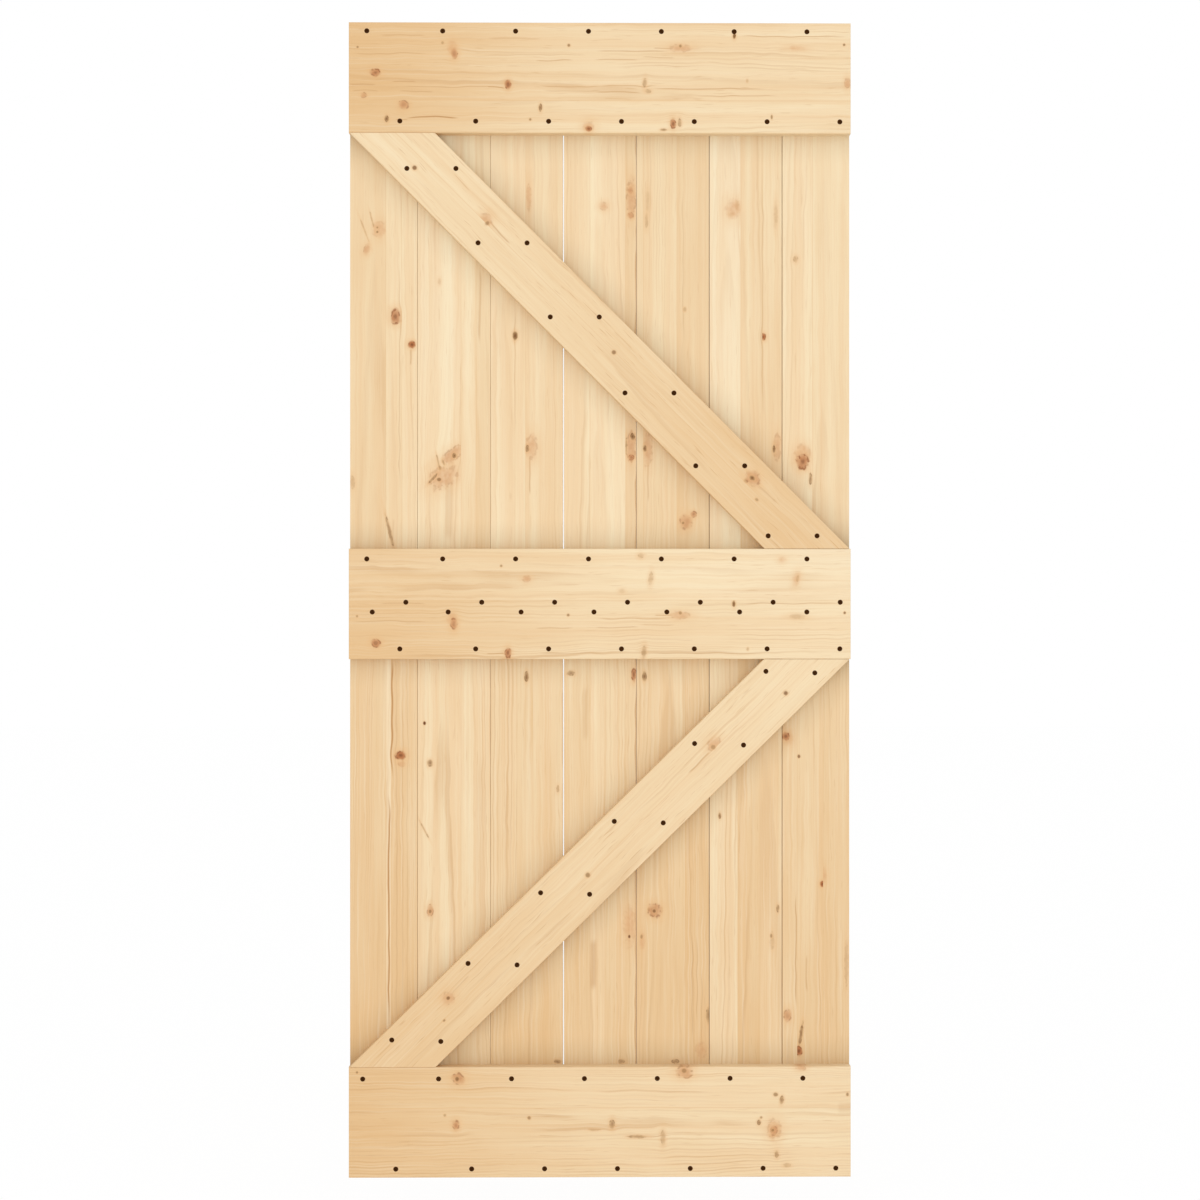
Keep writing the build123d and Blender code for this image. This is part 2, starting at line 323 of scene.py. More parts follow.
# Screw seats: depth of their flat bottoms, how closely it is met, and a reach that takes in one seat (m)
SEAT_DEPTH = 0.0022
SEAT_MATCH = 1e-5
SEAT_REACH = 0.006

# Screws: size and depth of the recess's floor, share of the length that is point, size of its tip, and turn
# in degrees from one to the next
RECESS_FLOOR = 0.55
RECESS_DEPTH = 0.6
POINT_SHARE = 0.28
POINT_SIZE = 0.12
SCREW_TURN = 37.0

# Screws' coating: how much lighter it is where worn, roughness with its spread, and gloss
COATING_WORN = 2.2
COATING_ROUGHNESS = 0.45
COATING_ROUGHNESS_SPREAD = 0.3
COATING_GLOSS = 0.05

# Lamp: width, height and place from the middle of the leaf's front (m)
LAMP_WIDTH = 4.5
LAMP_HEIGHT = 2.0
LAMP_PLACE = (-0.3, -5.6, -0.1)

# Width of the camera's sensor (mm)
SENSOR_WIDTH = 36.0

# White over the floor where it is seen: its strength and its share
FLOOR_WHITE = 1.02
FLOOR_WHITE_SHARE = 0.88


def srgb(red, green, blue):
    """Linear colour of an 8-bit screen colour."""
    shades = (value / 255 for value in (red, green, blue))
    return tuple(s / 12.92 if s <= 0.04045 else ((s + 0.055) / 1.055) ** 2.4 for s in shades)


def colour_property(name, description, default):
    """A colour that a user would change."""
    return FloatVectorProperty(
        name=name, description=description, subtype="COLOR", size=3, min=0.0, max=1.0, default=default
    )


def length_property(name, description, default):
    """A length that a user would change, in metres."""
    return FloatProperty(
        name=name, description=description, unit="LENGTH", min=0.0, precision=4, default=default
    )


class PineSettings(bpy.types.PropertyGroup):
    """Colours and sizes of the pine."""

    pale: colour_property("Early wood", "Pale wood between the growth lines", srgb(249, 229, 191))
    rose: colour_property("Rose wood", "Pinkish bands of the pale wood", srgb(244, 215, 173))
    amber: colour_property("Heartwood", "Amber strips and streaks", srgb(228, 186, 132))
    late: colour_property("Late wood", "Darker growth lines", srgb(206, 158, 104))
    halo: colour_property("Knot surround", "Wood round a knot", srgb(231, 182, 126))
    patch: colour_property("Pale knot", "Amber patches and pale knots", srgb(220, 161, 110))
    knot: colour_property("Dark knot", "Body of a dark knot", srgb(176, 102, 52))
    dull: colour_property("Pale small knot", "Pale small knots", srgb(207, 168, 122))
    speck: colour_property("Small knot", "Dark small knots and specks", srgb(146, 106, 58))
    heart: colour_property("Knot heart", "Darkest part of a knot", srgb(110, 60, 22))
    resin: colour_property("Resin streak", "Streaks along the grain", srgb(197, 146, 92))
    cream: colour_property("Sapwood", "Palest strips", srgb(250, 234, 204))
    # Corner shade and its reach are painted shade: a grey laid on the wood's colour in the inner corners,
    # where shadow falls
    shade: colour_property("Corner shade", "Greyed wood in the inner corners", srgb(233, 234, 234))
    shade_reach: length_property("Shade reach", "How far the corners' grey reaches out", 0.055)
    ring: length_property("Growth ring", "Width of one growth ring", 0.0046)
    roughness: FloatProperty(
        name="Roughness", description="Roughness of the planed wood", min=0.0, max=1.0, default=0.62
    )
    relief: length_property("Relief", "Height of the grain's relief", 0.00012)


class ScrewSettings(bpy.types.PropertyGroup):
    """Sizes and colour of the countersunk screws."""

    head: length_property("Head radius", "Radius of the flat head", 0.0045)
    neck: length_property("Shank radius", "Radius of the shank under the head", 0.0021)
    drop: length_property("Set-in", "Depth of the head's top under the wood's face", 0.00012)
    taper: length_property("Head depth", "Height of the head's taper", 0.0019)
    length: length_property("Length", "Length of a screw from head to point", 0.030)
    slot: length_property("Recess width", "Width of one wing of the cross recess", 0.0011)
    span: length_property("Recess span", "Reach of the cross recess from the middle", 0.0023)
    colour: colour_property("Coating", "Dark coating of the screws", srgb(62, 34, 8))
    sides: IntProperty(name="Sides", description="Sides of the round head", min=12, max=48, default=24)


class StageSettings(bpy.types.PropertyGroup):
    """Floor, light and camera."""

    floor_gap: length_property("Floor gap", "Clear height under the hung leaf", 0.10)
    floor_half: length_property("Floor half side", "Half the side of the floor", 12.0)
    floor: colour_property("Floor", "Colour of the floor", srgb(248, 248, 248))
    sky: FloatProperty(name="Sky", description="Strength of the soft light all round", min=0.0, default=0.88)
    key: FloatProperty(name="Key", description="Power of the large lamp", unit="POWER", min=0.0, default=48.0)
    lens: FloatProperty(name="Lens", description="Focal length in mm", min=1.0, default=50.0)
    distance: length_property("Distance", "Camera to the rails' front faces", 2.987)
    aside: FloatProperty(
        name="Aside", description="Camera's place left of the leaf's middle", unit="LENGTH", default=-0.021
    )


class Graph:
    """Short calls for laying nodes in one tree."""

    def __init__(self, tree):
        self.tree = tree

    def add(self, kind, **settings):
        node = self.tree.nodes.new(kind)
        for key, value in settings.items():
            setattr(node, key, value)
        return node

    def feed(self, socket, value):
        if isinstance(value, bpy.types.NodeSocket):
            self.tree.links.new(value, socket)
        else:
            socket.default_value = value

    def wire(self, node, *values):
        """Feeds the first inputs of a node and gives its first output."""
        for socket, value in zip(node.inputs, values):
            self.feed(socket, value)
        return node.outputs[0]

    def math(self, operation, *values):
        return self.wire(self.add("ShaderNodeMath", operation=operation), *values)

    def times(self, first, second):
        return self.math("MULTIPLY", first, second)

    def minus(self, first, second):
        return self.math("SUBTRACT", first, second)

    def scaled(self, value, factor, plus):
        """Value times factor, plus a third number."""
        return self.math("MULTIPLY_ADD", value, factor, plus)

    def ease(self, value, start, end):
        """A smooth step from 0 at start to 1 at end."""
        node = self.add("ShaderNodeMapRange", interpolation_type="SMOOTHSTEP", clamp=False)
        return self.wire(node, value, start, end)

    def mix(self, factor, first, second, blend="MIX"):
        """A colour between first and second, or first blended with second."""
        node = self.add("ShaderNodeMix", data_type="RGBA", blend_type=blend)
        for index, value in ((0, factor), (6, first), (7, second)):
            self.feed(node.inputs[index], value)
        return node.outputs[2]

    def vector(self, across, depth, along):
        return self.wire(self.add("ShaderNodeCombineXYZ"), across, depth, along)

    def noise(self, point, scales, shift=(0.0, 0.0, 0.0), detail=1.0):
        """Noise of a point that is stretched by scales and then shifted."""
        stretch = self.add("ShaderNodeVectorMath", operation="MULTIPLY_ADD")
        node = self.add("ShaderNodeTexNoise")
        self.feed(node.inputs["Vector"], self.wire(stretch, point, scales, shift))
        node.inputs["Scale"].default_value = 1.0
        node.inputs["Detail"].default_value = detail
        return node.outputs[0]

    def group(self, tree, **values):
        """One use of a node group, its inputs named in lower case."""
        node = self.add("ShaderNodeGroup", node_tree=tree)
        for socket in node.inputs:
            if socket_key(socket) in values:
                self.feed(socket, values[socket_key(socket)])
        return node.outputs


FLOAT = "NodeSocketFloat"
COLOUR = "NodeSocketColor"


def socket_key(socket):
    """A socket's name as a word: own_strip for Own Strip."""
    return socket.name.lower().replace(" ", "_")


def new_group(name, numbers, colours, outputs):
    """An empty node group with its sockets, given as words in a row. An output called colour is one."""
    tree = bpy.data.node_groups.new(name, "ShaderNodeTree")
    sockets = [(word, "INPUT", FLOAT) for word in numbers.split()]
    sockets += [(word, "INPUT", COLOUR) for word in colours.split()]
    sockets += [(word, "OUTPUT", COLOUR if word == "colour" else FLOAT) for word in outputs.split()]
    for word, way, kind in sockets:
        tree.interface.new_socket(word.replace("_", " ").title(), in_out=way, socket_type=kind)
    graph = Graph(tree)
    ends = graph.add("NodeGroupInput").outputs, graph.add("NodeGroupOutput").inputs
    named = [{socket_key(socket): socket for socket in end if socket.name} for end in ends]
    entry, leave = (SimpleNamespace(**sockets) for sockets in named)
    return tree, graph, entry, leave


def glued_strips_group():
    """Counts the glued strips across a piece, gives each its tone and marks the glue lines."""
    tree, g, entry, leave = new_group(
        "glued strips", "across line_1 line_2 tone_1 tone_2 tone_3", "", "strip tone glue_line"
    )
    lines = (entry.line_1, entry.line_2)
    first, second = (g.math("GREATER_THAN", entry.across, line) for line in lines)
    tone = g.scaled(first, g.minus(entry.tone_2, entry.tone_1), entry.tone_1)
    tone = g.scaled(second, g.minus(entry.tone_3, entry.tone_2), tone)
    gaps = [g.math("ABSOLUTE", g.minus(entry.across, line)) for line in lines]
    g.feed(leave.strip, g.math("ADD", first, second))
    g.feed(leave.tone, tone)
    g.feed(leave.glue_line, g.ease(g.math("MINIMUM", *gaps), 0.0011, 0.0002))
    return tree


def pine_grain_group():
    """Growth rings about a pith beside the piece, with soft bands and fine fibres."""
    tree, g, entry, leave = new_group(
        "pine grain",
        "across depth along seed tone pith_across pith_depth slope ring "
        "lines fine dashes sway breaks bands cloud",
        "pale rose amber cream late", "colour fibre",
    )
    point = g.vector(entry.across, entry.depth, entry.along)
    seed = entry.seed
    shift = g.vector(*(g.times(seed, step) for step in (7.31, 1.73, 3.19)))
    band = g.noise(point, (48.0, 24.0, 0.8), shift, detail=2.0)
    fine = g.noise(point, (320.0, 180.0, 3.2), shift, detail=2.0)
    sway = g.noise(point, (12.0, 8.0, 3.2), shift)
    fade = g.noise(point, g.vector(28.0, 12.0, entry.breaks), shift)
    cloud = g.noise(point, (22.0, 12.0, 3.6), g.vector(seed, 4.1, seed), detail=2.0)
    dash = g.noise(point, (480.0, 200.0, 24.0), shift)
    fibre = g.noise(point, (900.0, 600.0, 20.0), shift)

    # Rings about the pith, uneven in width and in strength
    swayed = g.scaled(g.minus(sway, 0.5), entry.sway, entry.across)
    away = g.minus(swayed, entry.pith_across)
    deep = g.minus(entry.depth, entry.pith_depth)
    reach = g.math("SQRT", g.scaled(away, away, g.times(deep, deep)))
    reach = g.scaled(entry.along, entry.slope, reach)
    uneven = g.noise(g.vector(reach, 0.0, 0.0), (80.0, 1.0, 1.0), shift)
    count = g.scaled(uneven, 2.8, g.math("DIVIDE", reach, entry.ring))
    count = g.scaled(fine, 0.35, count)
    year = g.math("FRACT", count)
    ring_number = g.scaled(seed, 17.3, g.math("FLOOR", count))
    chance = g.add("ShaderNodeTexWhiteNoise", noise_dimensions="1D")
    g.feed(chance.inputs["W"], ring_number)
    weight = g.scaled(g.math("POWER", chance.outputs["Value"], 2.0), 0.85, 0.15)
    line = g.times(g.ease(year, 0.4, 0.88), g.ease(year, 1.0, 0.9))
    line = g.times(g.times(line, weight), g.ease(fade, 0.3, 0.62))
    line = g.times(line, entry.lines)

    # Pale and rose bands, the strip's tone with clouds, and then fine lines, rings, dashes and fibres
    banded = g.minus(g.ease(band, 0.34, 0.66), 0.5)
    colour = g.mix(g.scaled(banded, entry.bands, 0.5), entry.pale, entry.rose)
    tone = g.scaled(g.minus(cloud, 0.5), entry.cloud, entry.tone)
    colour = g.mix(g.math("MAXIMUM", tone, 0.0), colour, entry.amber)
    colour = g.mix(g.math("MAXIMUM", g.times(tone, -1.0), 0.0), colour, entry.cream)
    colour = g.mix(g.times(g.ease(fine, 0.5, 0.72), entry.fine), colour, entry.amber)
    colour = g.mix(g.times(g.ease(fine, 0.5, 0.28), entry.fine), colour, entry.cream)
    colour = g.mix(line, colour, entry.late)
    colour = g.mix(g.times(g.ease(dash, 0.64, 0.78), entry.dashes), colour, entry.late)
    colour = g.mix(g.times(g.ease(fibre, 0.45, 0.8), 0.12), colour, entry.amber)
    g.feed(leave.colour, colour)
    g.feed(leave.fibre, fibre)
    return tree


def knot_pull_group():
    """Bends the grain round a knot: adds to Pull how far the lines move aside."""
    tree, g, entry, leave = new_group(
        "knot pull", "pull across along middle_across middle_along half_across half_along", "", "pull"
    )
    aside = g.minus(entry.across, entry.middle_across)
    ahead = g.minus(entry.along, entry.middle_along)
    wide = g.math("DIVIDE", aside, g.times(entry.half_across, PULL_ACROSS))
    long = g.math("DIVIDE", ahead, g.times(entry.half_along, PULL_ALONG))
    square = g.scaled(wide, wide, g.times(long, long))
    weight = g.math("EXPONENT", g.times(square, -1.0))
    pull = g.times(g.times(aside, -PULL_STRENGTH), weight)
    g.feed(leave.pull, g.math("ADD", entry.pull, pull))
    return tree


KNOT_INPUTS = "strip own_strip middle_across middle_along half_across half_along lean tone"


def knot_square(g, entry):
    """Square of the distance from a knot's middle, in half sizes of the knot, which may lean."""
    ahead = g.minus(entry.along, entry.middle_along)
    aside = g.minus(entry.across, entry.middle_across)
    aside = g.scaled(ahead, entry.lean, aside)
    wide = g.math("DIVIDE", aside, entry.half_across)
    long = g.math("DIVIDE", ahead, entry.half_along)
    return g.scaled(wide, wide, g.times(long, long))


def pine_knot_group():
    """Lays one knot over a colour in its own strip: a glow, a mottled body, a broken rim, a dark heart."""
    numbers = "across along ragged mottle broken " + KNOT_INPUTS
    tree, g, entry, leave = new_group("pine knot", numbers, "colour halo patch knot heart", "colour")
    ragged = g.math("ADD", g.math("SQRT", knot_square(g, entry)), entry.ragged)
    own = g.math("COMPARE", entry.strip, entry.own_strip, 0.5)
    tone = entry.tone
    fill = g.times(own, g.scaled(tone, 0.65, 0.35))
    halo = g.times(g.ease(ragged, 2.6, 0.5), g.times(fill, 0.6))
    inner = g.scaled(tone, 0.45, 0.2)
    solid = g.scaled(g.minus(1.0, entry.mottle), tone, entry.mottle)
    body = g.times(g.ease(ragged, 1.35, inner), g.times(fill, solid))
    edge = g.math("ABSOLUTE", g.minus(ragged, 0.9))
    worn = g.times(entry.broken, g.times(own, g.ease(tone, 0.0, 0.9)))
    rim = g.times(g.ease(edge, 0.26, 0.04), worn)
    dark = g.times(g.ease(tone, 0.3, 1.0), 0.7)
    heart = g.times(g.ease(ragged, 0.6, 0.12), g.times(own, dark))
    colour = g.mix(halo, entry.colour, entry.halo)
    colour = g.mix(body, colour, g.mix(tone, entry.patch, entry.knot))
    colour = g.mix(rim, colour, g.mix(0.5, entry.knot, entry.heart))
    colour = g.mix(heart, colour, entry.heart)
    g.feed(leave.colour, colour)
    return tree


def pine_speck_group():
    """Lays one small knot over a colour, inside its own glued strip."""
    numbers = "across along ragged " + KNOT_INPUTS
    tree, g, entry, leave = new_group("pine speck", numbers, "colour halo knot heart", "colour")
    ragged = g.math("ADD", knot_square(g, entry), entry.ragged)
    own = g.math("COMPARE", entry.strip, entry.own_strip, 0.5)
    tone = entry.tone
    halo = g.times(g.ease(ragged, 4.0, 0.6), g.times(own, 0.35))
    fill = g.times(own, g.scaled(tone, 0.85, 0.15))
    body = g.times(g.ease(ragged, 1.5, 0.2), fill)
    colour = g.mix(halo, entry.colour, entry.halo)
    colour = g.mix(body, colour, g.mix(g.ease(tone, 0.5, 1.1), entry.knot, entry.heart))
    g.feed(leave.colour, colour)
    return tree


def resin_streak_group():
    """Adds one streak along the grain to the mask of a piece's streaks."""
    tree, g, entry, leave = new_group(
        "resin streak", "streaks across along place middle half_length half_width strength", "", "streaks"
    )
    aside = g.math("ABSOLUTE", g.minus(entry.across, entry.place))
    ahead = g.math("ABSOLUTE", g.minus(entry.along, entry.middle))
    side = g.ease(g.math("DIVIDE", aside, entry.half_width), 1.3, 0.2)
    end = g.ease(g.math("DIVIDE", ahead, entry.half_length), 1.0, 0.65)
    factor = g.times(g.times(side, end), entry.strength)
    g.feed(leave.streaks, g.math("MAXIMUM", entry.streaks, factor))
    return tree


def painted_corner_shade_group():
    """Paints shade on the wood towards an inner corner, greying its colour where shadow falls."""
    tree, g, entry, leave = new_group("painted corner shade", "distance reach amount", "colour shade", "colour")
    near = g.minus(1.0, g.math("DIVIDE", entry.distance, entry.reach))
    near = g.math("MAXIMUM", g.math("MINIMUM", near, 1.0), 0.0)
    factor = g.times(g.math("POWER", near, 1.4), entry.amount)
    g.feed(leave.colour, g.mix(factor, entry.colour, entry.shade, "MULTIPLY"))
    return tree


def wood_groups():
    """The wood's shared node groups, built once."""
    makers = {
        "glued strips": glued_strips_group,
        "pine grain": pine_grain_group,
        "knot pull": knot_pull_group,
        "pine knot": pine_knot_group,
        "pine speck": pine_speck_group,
        "resin streak": resin_streak_group,
        "painted corner shade": painted_corner_shade_group,
    }
    return {name: bpy.data.node_groups.get(name) or make() for name, make in makers.items()}


def new_material(name):
    """An empty material with its graph and its main shader."""
    material = bpy.data.materials.new(name)
    material.use_nodes = True
    return material, Graph(material.node_tree), material.node_tree.nodes["Principled BSDF"]


def rgba(colour):
    """A colour with full cover."""
    return (*colour, 1.0)


def scatter(seed, step):
    """A number from 0 to 1 that jumps about from seed to seed."""
    return step * seed % 1.0


def brace_band(node):
    """Unit normal and half width of a brace in the leaf's plane, from its box and its top cut."""
    low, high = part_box(node)
    top = [vertex.co.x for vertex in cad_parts[node].data.vertices if high.z - vertex.co.z < LEVEL]
    cut = max(top) - min(top)
    rise = high.z - low.z
    run = high.x - low.x - cut
    hand = 1.0 if min(top) < 0.0 else -1.0
    length = math.hypot(run, rise)
    return rise / length, hand * run / length, cut * rise / length / 2


def opening_of(node):
    """Height range of the opening that a board shows in, and the brace that crosses it."""
    course = node.split("_")[0]
    above, below = ("top_rail", "middle_rail") if course == "upper" else ("middle_rail", "bottom_rail")
    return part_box(below)[1].z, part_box(above)[0].z, f"{course}_brace"


def painted_shade_distances(g, node, place, middle):
    """Distances of a surface from the inner corners beside it, each with how strongly painted shade greys it.
    """
    across, depth, along = place
    if node not in BOARDS:
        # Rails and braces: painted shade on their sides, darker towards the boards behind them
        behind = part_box(BOARDS[0])[0].y - middle.y
        painted_side_shade = g.times(g.ease(depth, FRONT_FACE, RAIL_SIDE), SIDE_PAINTED_SHADE)
        return [(g.minus(behind, depth), painted_side_shade)]
    base, top, brace = opening_of(node)
    # Boards: painted shade on the front face under and over the rails and beside the brace
    front = g.ease(depth, BOARD_SIDE, FRONT_FACE)
    to_top = g.minus(top - middle.z, along)
    to_base = g.minus(along, base - middle.z)
    low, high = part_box(brace)
    normal_x, normal_z, half = brace_band(brace)
    offset = normal_x * (middle.x - (low.x + high.x) / 2) + normal_z * (middle.z - (low.z + high.z) / 2)
    aside = g.scaled(along, normal_z, g.scaled(across, normal_x, offset))
    to_brace = g.minus(g.math("ABSOLUTE", aside), half)
    beside = g.times(front, g.scaled(g.math("SIGN", aside), BRACE_PAINTED_SHADE_STEP, BRACE_PAINTED_SHADE))
    under = g.times(front, UNDER_PAINTED_SHADE)
    over = g.times(front, OVER_PAINTED_SHADE)
    return [(to_top, under), (to_base, over), (to_brace, beside)]


def strips_of(node, place):
    """Glue lines across a piece and the tones of its strips, in the order in which they come across it."""
    joints, tones = STRIPS[node]
    if node in BRACES:
        return [joint * MM for joint in joints], tones
    if node in RAILS:
        return sorted(place(0.0, joint)[0] for joint in joints), tones[::-1]
    return [place(joint, 0.0)[0] for joint in joints], tones


def knots_of(node, place, lines, strip):
    """A piece's knots as values of the knot groups' sockets, palest first."""
    knots = []
    for x, z, half_across, half_along, tone, *lean in sorted(KNOTS[node], key=lambda knot: knot[4]):
        middle_across, middle_along = place(x, z)
        number = float(sum(middle_across > line for line in lines))
        knots.append({
            "middle_across": middle_across,
            "middle_along": middle_along,
            "half_across": half_across * MM,
            "half_along": half_along * MM,
            "tone": tone,
            "lean": math.tan(math.radians(lean[0])) if lean else 0.0,
            "own_strip": number if half_across * MM > SMALL_KNOT else strip,
        })
    return knots


def lay_knots(g, groups, colour, knots, point, look):
    """Lays a piece's knots and specks over a colour, broken by noise."""
    pine = bpy.context.scene.leaf_pine
    rough = g.noise(point, (110.0, 50.0, 85.0), detail=2.0)
    spots = g.noise(point, (150.0, 50.0, 120.0), (3.1, 0.7, 5.3))
    look["ragged"] = g.scaled(rough, 0.9, -0.45)
    look["mottle"] = g.scaled(g.ease(spots, 0.3, 0.7), 0.5, 0.55)
    look["broken"] = g.times(g.ease(spots, 0.46, 0.6), 0.8)
    for knot in knots:
        narrow, wide = sorted((knot["half_across"], knot["half_along"]))
        small = narrow < SMALL_KNOT
        shades = {
            "halo": rgba(pine.halo),
            "patch": rgba(pine.dull if small else pine.patch),
            "knot": rgba(pine.speck if small else pine.knot),
            "heart": rgba(pine.heart),
        }
        kind = "pine speck" if wide < SMALL_KNOT else "pine knot"
        colour = g.group(groups[kind], colour=colour, **shades, **look, **knot)[0]
    return colour


def pine_material(node, turn, seed, grain):
    """The finish of one piece of pine: grain along the piece, its strips, streaks and knots.

    Grain holds the strengths of its lines, bands and clouds, and how far the lines sway and how soon they
    break off.
    """
    pine = bpy.context.scene.leaf_pine
    groups = wood_groups()
    low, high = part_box(node)
    turning = Matrix.Rotation(math.radians(turn), 3, "Y")
    shift = -(turning @ ((low + high) / 2))

    def place(x, z):
        """Across and along of a point of the leaf, given in mm."""
        point = turning @ Vector((x * MM, (low.y + high.y) / 2, z * MM)) + shift
        return point.x, point.z

    material, g, shader = new_material(f"pine {node.replace('_', ' ')}")
    coordinates = g.add("ShaderNodeTexCoord").outputs["Object"]
    turned = g.wire(g.add("ShaderNodeMapping"), coordinates, shift, (0.0, math.radians(turn), 0.0))
    split = g.add("ShaderNodeSeparateXYZ")
    g.wire(split, turned)
    across, depth, along = split.outputs

    lines, tones = strips_of(node, place)
    line_values = (*lines, NO_LINE, NO_LINE)
    tone_values = (*tones, tones[-1], tones[-1])
    counted = g.add("ShaderNodeGroup", node_tree=groups["glued strips"])
    g.wire(counted, across, *line_values[:2], *tone_values[:3])
    strip, tone, glue = counted.outputs
    if node in ENDS:
        darker, paler = ENDS[node]
        tone = g.scaled(g.ease(along, TONE_START, -TONE_FULL), darker, tone)
        tone = g.scaled(g.ease(along, -TONE_START, TONE_FULL), -paler, tone)

    knots = knots_of(node, place, lines, strip)
    pull = 0.0
    for knot in knots:
        if knot["half_across"] > PULL_HALF and knot["tone"] > PULL_TONE:
            pull = g.group(groups["knot pull"], pull=pull, across=across, along=along, **knot)[0]
    point = g.vector(across, depth, along)
    ripple = g.noise(point, (25.0, 12.0, 18.0), (2.3 * seed, 0.0, 0.0))
    bent = g.scaled(ripple, RIPPLE, g.math("ADD", across, pull))
    bent = g.minus(bent, RIPPLE / 2)

    colour, fibre = g.group(
        groups["pine grain"], across=bent, depth=depth, along=along,
        seed=g.scaled(strip, STRIP_SEED, float(seed)), tone=tone,
        pith_across=(scatter(seed, 0.37) - 0.5) * PITH_SPREAD,
        pith_depth=PITH_DEPTH + PITH_DEPTH_SPREAD * scatter(seed, 0.61),
        slope=RING_SLOPE + RING_SLOPE_SPREAD * scatter(seed, 0.83), ring=pine.ring, **grain,
        **{key: rgba(getattr(pine, key)) for key in ("pale", "rose", "amber", "cream", "late")},
    )
    colour = g.mix(g.times(glue, GLUE_STRENGTH), colour, rgba(pine.amber))
    streaks = 0.0
    for x, z, half_length, half_width, strength in STREAKS.get(node, ()):
        where, middle = place(x, z)
        streaks = g.group(
            groups["resin streak"], streaks=streaks, across=bent, along=along, place=where, middle=middle,
            half_length=half_length * MM, half_width=half_width * MM, strength=strength,
        )[0]
    colour = g.mix(streaks, colour, rgba(pine.resin))
    look = {"across": across, "along": along, "strip": strip}
    colour = lay_knots(g, groups, colour, knots, point, look)
    # Painted shade in the inner corners, laid over the wood's colour
    for distance, amount in painted_shade_distances(g, node, split.outputs, (low + high) / 2):
        colour = g.group(
            groups["painted corner shade"], colour=colour, distance=distance, amount=amount,
            reach=pine.shade_reach, shade=rgba(pine.shade),
        )[0]
    g.feed(shader.inputs["Base Color"], colour)
    smoothest = pine.roughness - ROUGHNESS_SPREAD / 2
    g.feed(shader.inputs["Roughness"], g.scaled(fibre, ROUGHNESS_SPREAD, smoothest))
    shader.inputs["Specular IOR Level"].default_value = WOOD_GLOSS
    height = g.noise(point, (620.0, 420.0, 14.0), detail=2.0)
    bump = g.add("ShaderNodeBump")
    bump.inputs["Strength"].default_value = RELIEF_STRENGTH
    bump.inputs["Distance"].default_value = pine.relief
    g.feed(bump.inputs["Height"], height)
    g.feed(shader.inputs["Normal"], bump.outputs[0])
    return material


def dress(node, material):
    """Gives a CAD node its finish."""
    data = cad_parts[node].data
    data.materials.clear()
    data.materials.append(material)


class LEAF_OT_boards(bpy.types.Operator):
    """Finish the vertical boards in knotty pine"""

    bl_idname = "leaf.boards"
    bl_label = "Finish boards"

    def execute(self, context):
        for seed, node in enumerate(BOARDS, start=1):
            grain = UPPER_GRAIN if node.startswith("upper") else LOWER_GRAIN
            dress(node, pine_material(node, BOARD_TURN, seed, grain))
        return {"FINISHED"}


class LEAF_OT_rails(bpy.types.Operator):
    """Finish the three rails in knotty pine, a little darker at their left ends"""

    bl_idname = "leaf.rails"
    bl_label = "Finish rails"

    def execute(self, context):
        for seed, node in enumerate(RAILS, start=21):
            dress(node, pine_material(node, RAIL_TURN, seed, RAIL_GRAIN))
        return {"FINISHED"}


class LEAF_OT_braces(bpy.types.Operator):
    """Finish the two braces in knotty pine, the grain along each brace"""

    bl_idname = "leaf.braces"
    bl_label = "Finish braces"

    def execute(self, context):
        for seed, node in enumerate(BRACES, start=31):
            dress(node, pine_material(node, BRACE_TURN[node], seed, BRACE_GRAIN))
        return {"FINISHED"}


def screw_seats(node):
    """Middles of the countersunk seats in a node's front face, found from their flat bottoms."""
    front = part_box(node)[0].y
    seats = []
    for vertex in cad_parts[node].data.vertices:
        if abs(vertex.co.y - front - SEAT_DEPTH) > SEAT_MATCH:
            continue
        for seat in seats:
            if (seat[0] - vertex.co).length < SEAT_REACH:
                seat.append(vertex.co.copy())
                break
        else:
            seats.append([vertex.co.copy()])
    middles = []
    for seat in seats:
        xs = [co.x for co in seat]
        zs = [co.z for co in seat]
        middles.append(Vector(((min(xs) + max(xs)) / 2, front, (min(zs) + max(zs)) / 2)))
    return sorted(middles, key=lambda middle: (round(middle.z, 3), middle.x))


